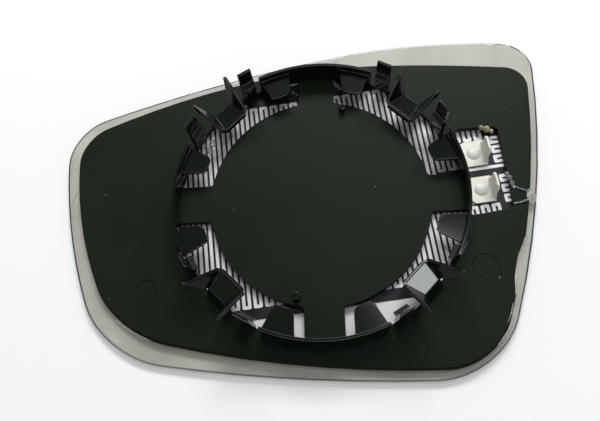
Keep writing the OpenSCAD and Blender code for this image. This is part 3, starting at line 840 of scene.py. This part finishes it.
class Bench:
    """The few moves by which pieces are made."""

    MERGE_WITHIN = 0.001 * MM
    FLAT_WITHIN = math.radians(0.5)
    SMOOTH_UP_TO = math.radians(40)
    ROUND_STEPS = 2
    FINISH_OF_FACES = -1

    @staticmethod
    def clear() -> None:
        """Deselects every object."""
        if bpy.context.object and bpy.context.object.mode != "OBJECT":
            bpy.ops.object.mode_set(mode="OBJECT")
        bpy.ops.object.select_all(action="DESELECT")

    @classmethod
    def take(cls, piece: bpy.types.Object) -> None:
        """Makes a piece the only one selected.

        Args:
            piece: the piece to work on.
        """
        cls.clear()
        piece.select_set(True)
        bpy.context.view_layer.objects.active = piece

    @classmethod
    def copy_node(cls, node: bpy.types.Object, name: str) -> bpy.types.Object:
        """Copies a CAD node into a piece with whole faces.

        Args:
            node: the CAD node's object.
            name: the new piece's name.

        Returns:
            The piece, merged, with flat areas joined.
        """
        piece = bpy.data.objects.new(name, node.data.copy())
        bpy.context.scene.collection.objects.link(piece)
        piece.data.materials.clear()
        cls.take(piece)
        if piece.data.has_custom_normals:
            bpy.ops.mesh.customdata_custom_splitnormals_clear()
        bpy.ops.object.mode_set(mode="EDIT")
        bpy.ops.mesh.select_all(action="SELECT")
        bpy.ops.mesh.remove_doubles(threshold=cls.MERGE_WITHIN)
        bpy.ops.mesh.dissolve_limited(angle_limit=cls.FLAT_WITHIN)
        bpy.ops.object.mode_set(mode="OBJECT")
        return piece

    @classmethod
    def soften(
        cls, piece: bpy.types.Object, width: float, sharp: float, finish: int = FINISH_OF_FACES
    ) -> None:
        """Rounds a piece's sharp edges.

        Args:
            piece: the piece.
            width: the width of the rounding, in metres.
            sharp: edges sharper than this many degrees are rounded.
            finish: the number of the finish that the roundings get.
        """
        cls.take(piece)
        bevel = piece.modifiers.new("soft edges", "BEVEL")
        bevel.width = width
        bevel.segments = cls.ROUND_STEPS
        bevel.limit_method = "ANGLE"
        bevel.angle_limit = math.radians(sharp)
        bevel.use_clamp_overlap = False
        bevel.material = finish
        bevel.miter_outer = "MITER_ARC"
        bpy.ops.object.modifier_apply(modifier=bevel.name)
        bpy.ops.object.shade_smooth_by_angle(angle=cls.SMOOTH_UP_TO)
        even = piece.modifiers.new("even shading", "WEIGHTED_NORMAL")
        even.keep_sharp = True
        bpy.ops.object.modifier_apply(modifier=even.name)

    @classmethod
    def melt(cls, piece: bpy.types.Object, grain: float, flow: int) -> None:
        """Runs a piece's solids into one skin and smooths it, as glue sets.

        Args:
            piece: the piece.
            grain: the size of the skin's steps, in metres.
            flow: how often the skin is smoothed.
        """
        cls.take(piece)
        skin = piece.modifiers.new("one skin", "REMESH")
        skin.mode = "VOXEL"
        skin.voxel_size = grain
        bpy.ops.object.modifier_apply(modifier=skin.name)
        smooth = piece.modifiers.new("flow", "SMOOTH")
        smooth.iterations = flow
        bpy.ops.object.modifier_apply(modifier=smooth.name)
        bpy.ops.object.shade_smooth()

    @staticmethod
    def dress(node: bpy.types.Object, finish: Finish) -> None:
        """Gives a CAD node its finish.

        Args:
            node: the CAD node's object.
            finish: its finish.
        """
        node.data.materials.clear()
        node.data.materials.append(finish.material())
        LOG.info("%s: dressed", node.name)

    @staticmethod
    def own(piece: bpy.types.Object, slot: Slot, *replaced: str) -> None:
        """Attaches a finished piece to the root and hides the CAD nodes that it stands for.

        Args:
            piece: the finished piece.
            slot: not used.
            replaced: the CAD nodes that it stands for.
        """
        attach(piece, "root")
        if replaced:
            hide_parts(*replaced)
        LOG.info("%s: %d faces", piece.name, len(piece.data.polygons))


@dataclass
class MirrorPane:
    """The pane: clear glass with its mirror coating and paint on the back."""

    arris: float = 0.28 * MM
    sharp: float = 50
    bare_rim: float = 0.34 * MM
    facing: float = 0.9

    def build(self, frame: dict) -> None:
        """Rounds the pane's edges and gives each face its finish.

        Args:
            frame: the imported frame.
        """
        piece = Bench.copy_node(frame["nodes"]["mirror_glass"], "pane")
        Bench.soften(piece, self.arris, self.sharp)
        for finish in (BackPaint(), GlassEdge(), MirrorFace()):
            piece.data.materials.append(finish.material())
        Bench.take(piece)
        faces = piece.data.polygons
        top = max(faces, key=lambda face: face.area * (face.normal.z > self.facing))
        for face in faces:
            face.select = face == top
            is_mirror = face.normal.z < -self.facing
            face.material_index = PaneFace.MIRROR if is_mirror else PaneFace.EDGE
        bpy.ops.object.mode_set(mode="EDIT")
        bpy.ops.mesh.inset(thickness=self.bare_rim)
        bpy.ops.object.mode_set(mode="OBJECT")
        for face in piece.data.polygons:
            if face.select:
                face.material_index = PaneFace.PAINT
        Bench.own(piece, Slot.GLASS, "mirror_glass")


@dataclass
class Heater:
    """The printed heater: its film, its track and the sheet that bonds the plate over it."""

    drawn_in: float = 0.1 * MM
    middle: Point = (0, 0, 2.225 * MM)
    stretch: float = 10

    def build(self, frame: dict) -> None:
        """Dresses the film and the sheet, and prints the track.

        Args:
            frame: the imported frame.
        """
        Bench.dress(frame["nodes"]["heater_film"], CarrierFilm())
        Bench.dress(frame["nodes"]["adhesive_sheet"], FoamSheet())
        self.print_track(frame["nodes"]["heater_track"])

    def print_track(self, node: bpy.types.Object) -> None:
        """Draws the track's sides in, for clearer dark gaps between its bars.

        The track is stretched upright meanwhile, so that its thickness hardly changes.

        Args:
            node: the track's CAD node.
        """
        piece = Bench.copy_node(node, "printed_track")
        bpy.ops.object.mode_set(mode="EDIT")
        bpy.ops.mesh.select_all(action="SELECT")
        bpy.ops.transform.resize(value=(1, 1, self.stretch), center_override=self.middle)
        bpy.ops.transform.shrink_fatten(value=-self.drawn_in, use_even_offset=True)
        bpy.ops.transform.resize(value=(1, 1, 1 / self.stretch), center_override=self.middle)
        bpy.ops.object.mode_set(mode="OBJECT")
        piece.data.materials.append(SilverPaste().material())
        Bench.own(piece, Slot.TRACK, "heater_track")


@dataclass
class BackingPlate:
    """The moulded plate with its clip ring."""

    edge: float = 0.17 * MM
    sharp: float = 32
    rim: float = 0.45 * MM
    rim_steps: int = 3
    top: float = 4.6 * MM
    tall_from: float = top / 3
    upright: float = 0.1
    clips_from: float = 5.3 * MM
    ring_reach: float = 51.6 * MM
    window_x: Span = (50 * MM, 68 * MM)
    window_y: float = 24 * MM
    # Clip roundings that face this far south and up get the pale finish, a painted highlight.
    highlight_south: float = -0.25
    highlight_up: float = 0.15

    def build(self, frame: dict) -> None:
        """Rounds the plate's edges and gives its faces their finish.

        Args:
            frame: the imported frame.
        """
        piece = Bench.copy_node(frame["nodes"]["backing_plate"], "moulded_plate")
        # The clip ring's finish is glossier, as its moulding is smoother. It is also darker than
        # the plate, which is painted shade.
        shaded_clips = BlackPlastic("glossy black plastic with painted shade", (0.0026, 0.0058, 0.0022),
                             (0.0042, 0.0085, 0.0036), roughness=0.09, gloss=0.36, dusty=0.15)
        # A pale copy of the plastic for the clips' south-facing roundings: a painted highlight.
        painted_highlight = BlackPlastic("black plastic with painted edge highlight", (0.035, 0.042, 0.034), (0.105, 0.117, 0.1),
                            roughness=0.2, gloss=0.5)
        for finish in (BlackPlastic(), shaded_clips, painted_highlight):
            piece.data.materials.append(finish.material())
        self.round_rim(piece)
        Bench.soften(piece, self.edge, self.sharp, PlateFace.WORN)
        # Only the clips' south-facing roundings keep the pale painted highlight; the other
        # roundings take their face's finish.
        for face in piece.data.polygons:
            rounding = face.material_index == PlateFace.WORN
            on_clips = face.center.z > self.clips_from
            south = face.normal.y < self.highlight_south and face.normal.z > self.highlight_up
            if on_clips and not (rounding and south):
                face.material_index = PlateFace.GLOSSY
            elif rounding and not on_clips:
                face.material_index = PlateFace.MATT
        Bench.own(piece, Slot.PLASTIC, "backing_plate")

    def is_outer_wall(self, face: bpy.types.MeshPolygon, heights: list[float]) -> bool:
        """Tells whether a face is part of the plate's outer wall.

        Args:
            face: the face.
            heights: the heights of its corners.

        Returns:
            Whether it is.
        """
        at, out = face.center, face.normal
        tall = max(heights) - min(heights) > self.tall_from
        to_top = abs(max(heights) - self.top) < self.edge
        outward = abs(out.z) < self.upright and out.x * at.x + out.y * at.y > 0
        in_window = self.window_x[0] < at.x < self.window_x[1] and abs(at.y) < self.window_y
        past_ring = math.hypot(at.x, at.y) > self.ring_reach
        return tall and to_top and outward and past_ring and not in_window

    def round_rim(self, piece: bpy.types.Object) -> None:
        """Rounds the plate's outer rim, which is softer than its other edges.

        Args:
            piece: the plate.
        """
        Bench.take(piece)
        mesh = piece.data
        heights = [vertex.co.z for vertex in mesh.vertices]
        upper = self.top - self.edge
        rim = set()
        for face in mesh.polygons:
            if self.is_outer_wall(face, [heights[corner] for corner in face.vertices]):
                rim.update(key for key in face.edge_keys
                           if min(heights[key[0]], heights[key[1]]) > upper)
        bpy.ops.object.mode_set(mode="EDIT")
        bpy.ops.mesh.select_mode(type="EDGE")
        bpy.ops.mesh.select_all(action="DESELECT")
        bpy.ops.object.mode_set(mode="OBJECT")
        for edge in mesh.edges:
            edge.select = edge.key in rim
        bpy.ops.object.mode_set(mode="EDIT")
        # The rounded rim takes the clip ring's glossy finish, with its darker painted shade.
        bpy.ops.mesh.bevel(offset=self.rim, segments=self.rim_steps, affect="EDGES",
                           material=PlateFace.GLOSSY)
        bpy.ops.mesh.select_mode(type="FACE")
        bpy.ops.object.mode_set(mode="OBJECT")
        LOG.info("rim: %d edges", len(rim))


@dataclass
class Terminals:
    """The two blade terminals and their rivets."""

    edge: float = 0.12 * MM
    sharp: float = 50

    def build(self, frame: dict) -> None:
        """Rounds the terminals' and rivets' edges.

        Args:
            frame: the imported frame.
        """
        tin = SheetMetal()
        rivet = SheetMetal("rivet metal", (0.72, 0.71, 0.67), (0.86, 0.85, 0.8), metal=0.15,
                           roughness=(0.48, 0.63))
        for side in ("upper", "lower"):
            for kind, finish, slot in (("terminal", tin, Slot.TIN), ("rivet", rivet, Slot.RIVET)):
                node = f"{kind}_{side}"
                piece = Bench.copy_node(frame["nodes"][node], f"{kind}_soft_{side}")
                Bench.soften(piece, self.edge, self.sharp)
                piece.data.materials.append(finish.material())
                Bench.own(piece, slot, node)


@dataclass(frozen=True)
class Bead:
    """A thin pale bead, partly glue and partly painted highlight: its thickness in metres, and
    the places it follows in millimetres.
    """

    thick: float
    path: Path


@dataclass
class Glue:
    """Drops, threads, smears and crumbs of hardened glue, and pale beads along the plate's edge:
    glue with a painted highlight, and one painted highlight alone.
    """

    grain: float = 0.09 * MM
    thin_grain: float = 0.05 * MM
    flow: int = 16
    bead_up: float = 4.5 * MM
    bead_steps: int = 2
    beads: tuple[Bead, ...] = (
        # These two follow glue at the plate's edge; their paleness is a painted highlight.
        Bead(0.2 * MM,
             ((60.7, -39.8), (59.9, -44.2), (57.0, -48.6), (52.6, -53.1), (46.2, -57.0))),
        Bead(0.2 * MM,
             ((61.2, -41.6), (60.6, -44.4), (59.0, -47.2), (56.7, -50.2), (54.2, -52.8))),
        # This one lies where the plate's rounded edge has only a highlight: a painted highlight.
        Bead(0.13 * MM,
             ((-69.9, -40.3), (-67.8, -42.4), (-64.9, -44.2), (-61.6, -45.9), (-58.2, -47.3))),
    )
    crumb: float = 0.18 * MM
    crumb_steps: int = 2
    crumb_rough: float = crumb / 4
    crumb_seed: int = 5
    crumb_squash: Point = (1.3, 0.9, 0.6)
    crumb_up: float = 4.7 * MM
    crumbs: Path = ((19.62, 3.27), (70.52, 30.24), (-30.6, -2.8), (-78.0, 5.61))

    def build(self, frame: dict) -> None:
        """Melts the glue's CAD nodes, then adds the beads and the crumbs.

        Args:
            frame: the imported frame.
        """
        yellow = HardGlue("yellow glue", (0.62, 0.55, 0.36), (0.38, 0.31, 0.16), 0.3)
        clear = HardGlue()
        for node, grain, finish, slot in (
            ("glue_lump", self.grain, yellow, Slot.YELLOW),
            ("glue_threads", self.grain, clear, Slot.CLEAR),
            ("glue_smear", self.thin_grain, clear, Slot.CLEAR),
        ):
            piece = Bench.copy_node(frame["nodes"][node], node.replace("glue", "set"))
            Bench.melt(piece, grain, self.flow)
            piece.data.materials.append(finish.material())
            Bench.own(piece, slot, node)
        for number, bead in enumerate(self.beads, 1):
            # The beads are pale as a painted highlight; the first two also stand for glue.
            self.run(f"edge_bead_and_highlight_{number}", bead, HardGlue("pale glue and painted highlight", clear=0.5))
        self.scatter(yellow)

    def run(self, name: str, bead: Bead, finish: Finish) -> None:
        """Runs a pale bead along the plate's edge: a painted highlight, on glue where there is
        glue.

        Args:
            name: the piece's name.
            bead: the bead.
            finish: its finish.
        """
        Bench.clear()
        bpy.ops.curve.primitive_nurbs_path_add()
        piece = bpy.context.object
        piece.name = name
        line = piece.data.splines[0]
        for point, (x, y) in zip(line.points, bead.path):
            point.co = (x * MM, y * MM, self.bead_up, 1)
        line.use_endpoint_u = True
        piece.data.bevel_depth = bead.thick / 2
        piece.data.bevel_resolution = self.bead_steps
        piece.data.use_fill_caps = True
        bpy.ops.object.convert(target="MESH")
        bpy.ops.object.shade_smooth()
        piece.data.materials.append(finish.material())
        Bench.own(piece, Slot.CLEAR)

    def scatter(self, finish: Finish) -> None:
        """Shapes one crumb of glue and lays copies of it where the plate has them.

        Args:
            finish: the crumbs' finish.
        """
        Bench.clear()
        bpy.ops.mesh.primitive_ico_sphere_add(subdivisions=self.crumb_steps, radius=self.crumb)
        crumb = bpy.context.object
        crumb.name = "crumbs"
        bpy.ops.object.mode_set(mode="EDIT")
        bpy.ops.transform.vertex_random(offset=self.crumb_rough, seed=self.crumb_seed)
        bpy.ops.transform.resize(value=self.crumb_squash)
        bpy.ops.mesh.select_all(action="DESELECT")
        bpy.ops.object.mode_set(mode="OBJECT")
        start = crumb.data.copy()
        for number, (x, y) in enumerate(self.crumbs):
            piece = crumb
            if number:
                piece = bpy.data.objects.new(f"crumb {number}", start.copy())
                bpy.context.scene.collection.objects.link(piece)
            to_place = Matrix.Translation((x * MM, y * MM, self.crumb_up))
            piece.data.transform(to_place @ Matrix.Rotation(number, 4, "Z"))
            piece.select_set(True)
        bpy.ops.object.join()
        bpy.ops.object.shade_smooth()
        crumb.data.materials.append(finish.material())
        Bench.own(crumb, Slot.YELLOW)


@dataclass(frozen=True)
class Camera:
    """The camera, fitted to the photograph's view of the clip ring. Its angles are in degrees."""

    tilt: float = 21.661
    swing: float = 9.726
    roll: float = -1.439
    distance: float = 207.524 * MM
    aim: Point = (-7.446 * MM, -2.43 * MM, 0)
    sensor: float = 36
    lens: float = 34.586
    sees_from: float = 1 * MM
    sees_to: float = 20

    def build(self) -> None:
        """Adds the camera and makes it the scene's."""
        tilt, swing, roll = (math.radians(v) for v in (self.tilt, self.swing, self.roll))
        across = math.sin(tilt)
        back = Vector((across * math.sin(swing), -across * math.cos(swing), math.cos(tilt)))
        level = Vector((0, 1, 0)).cross(back).normalized()
        rise = back.cross(level)
        right = level * math.cos(roll) + rise * math.sin(roll)
        up = rise * math.cos(roll) - level * math.sin(roll)
        data = bpy.data.cameras.new("camera")
        data.sensor_width, data.lens = self.sensor, self.lens
        data.clip_start, data.clip_end = self.sees_from, self.sees_to
        camera = bpy.data.objects.new("camera", data)
        bpy.context.scene.collection.objects.link(camera)
        turn = Matrix((right, up, back)).transposed().to_4x4()
        camera.matrix_world = Matrix.Translation(Vector(self.aim) + back * self.distance) @ turn
        bpy.context.scene.camera = camera


@dataclass(frozen=True)
class Lamp:
    """A soft rectangular lamp that faces the middle of the part."""

    name: str
    at: Point
    size: Span
    watts: float
    colour: Colour = WHITE

    def build(self) -> None:
        """Adds the lamp."""
        data = bpy.data.lights.new(self.name, "AREA")
        data.shape = "RECTANGLE"
        data.size, data.size_y = self.size
        data.energy = self.watts
        data.color = self.colour
        lamp = bpy.data.objects.new(self.name, data)
        bpy.context.scene.collection.objects.link(lamp)
        turn = (-Vector(self.at)).to_track_quat("-Z", "Y").to_matrix().to_4x4()
        lamp.matrix_world = Matrix.Translation(self.at) @ turn


@dataclass(frozen=True)
class Studio:
    """The pale floor, the soft light and the white surroundings."""

    floor_size: float = 8
    floor_down: float = 0.02 * MM
    sky_span: Span = (0, 0.55)
    sky: Span = (1, 0.22)
    lamps: tuple[Lamp, ...] = (
        Lamp("north window", (0.15, 0.95, 0.85), (0.9, 0.34), 12.5),
        Lamp("ceiling lamp", (0.150, 0.165, 0.80), (0.11, 0.11), 0.62, (0.93, 0.97, 1)),
    )

    def build(self) -> None:
        """Adds the floor, the world and the lamps."""
        bpy.context.scene.view_settings.view_transform = "Standard"
        Bench.clear()
        bpy.ops.mesh.primitive_plane_add(size=self.floor_size, location=(0, 0, -self.floor_down))
        floor = bpy.context.object
        floor.name = "floor"
        floor.data.materials.append(FloorPaper().material())
        self.surround()
        for lamp in self.lamps:
            lamp.build()
        LOG.info("studio: %d lamps", len(self.lamps))

    def surround(self) -> None:
        """Gives the world a soft light, white at the horizon and greyer overhead."""
        world = bpy.data.worlds.new("surroundings")
        bpy.context.scene.world = world
        world.use_nodes = True
        graph = Graph(world.node_tree)
        strength = graph.ramp(graph.along("Z"), self.sky_span, self.sky)
        backdrop = graph.feed(graph.add("Background"), Color=WHITE, Strength=strength)
        graph.fill(graph.add("OutputWorld").inputs[0], backdrop.outputs[0])


def main() -> None:
    """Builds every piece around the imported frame, then the camera and the light."""
    logging.basicConfig(level=logging.INFO, format="%(name)s: %(message)s")
    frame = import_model()
    Camera().build()
    for assembly in (MirrorPane(), Heater(), BackingPlate(), Terminals(), Glue()):
        assembly.build(frame)
    Studio().build()


if __name__ == "__main__":
    main()
